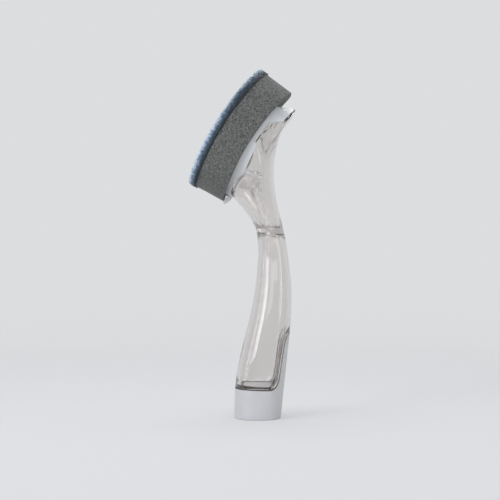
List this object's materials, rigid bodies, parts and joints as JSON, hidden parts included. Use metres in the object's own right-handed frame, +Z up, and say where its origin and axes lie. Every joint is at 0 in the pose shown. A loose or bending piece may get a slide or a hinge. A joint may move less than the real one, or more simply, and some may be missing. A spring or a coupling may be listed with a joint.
{
  "type": "dish wand",
  "caption": "Soap-dispensing dish wand: clear hollow handle with a scoop head, pale base cap that opens for filling, and a hook-on refill of curved foam and scourer.",
  "frame": {"origin": "middle of the foot oval of the base cap, on the surface that the wand stands on", "axes": "+Z up along the handle, +X from the pad side towards the spine of the handle, +Y across the wand's width"},
  "size_m": [0.0673, 0.056, 0.2181],
  "materials": {
    "pale_plastic": "satin",
    "clear_plastic": "gloss",
    "seal_rubber": "matte",
    "valve_silicone": "satin",
    "grey_foam": "matte",
    "blue_scourer": "matte"
  },
  "bodies": {
    "base": {"base_cap": "pale_plastic", "rim_gasket": "seal_rubber", "filler_plug": "pale_plastic", "plug_seal": "seal_rubber"},
    "handle": {"reservoir_handle": "clear_plastic", "outlet_riser": "clear_plastic", "outlet_nozzle": "clear_plastic", "slit_valve": "valve_silicone", "valve_ring": "pale_plastic"},
    "refill": {"carrier_plate": "pale_plastic", "port_grommet": "valve_silicone", "foam_sponge": "grey_foam", "scourer": "blue_scourer"}
  },
  "joints": [
    {"name": "handle_lift", "type": "slide", "parent": "base", "child": "handle", "axis": [0, 0, 1], "range_m": [0, 0.06]},
    {"name": "refill_unhook", "type": "hinge", "parent": "handle", "child": "refill", "pos_m": [-0.01647, 0, 0.13926], "axis": [0, -1, 0], "range_deg": [0, 40]}
  ]
}
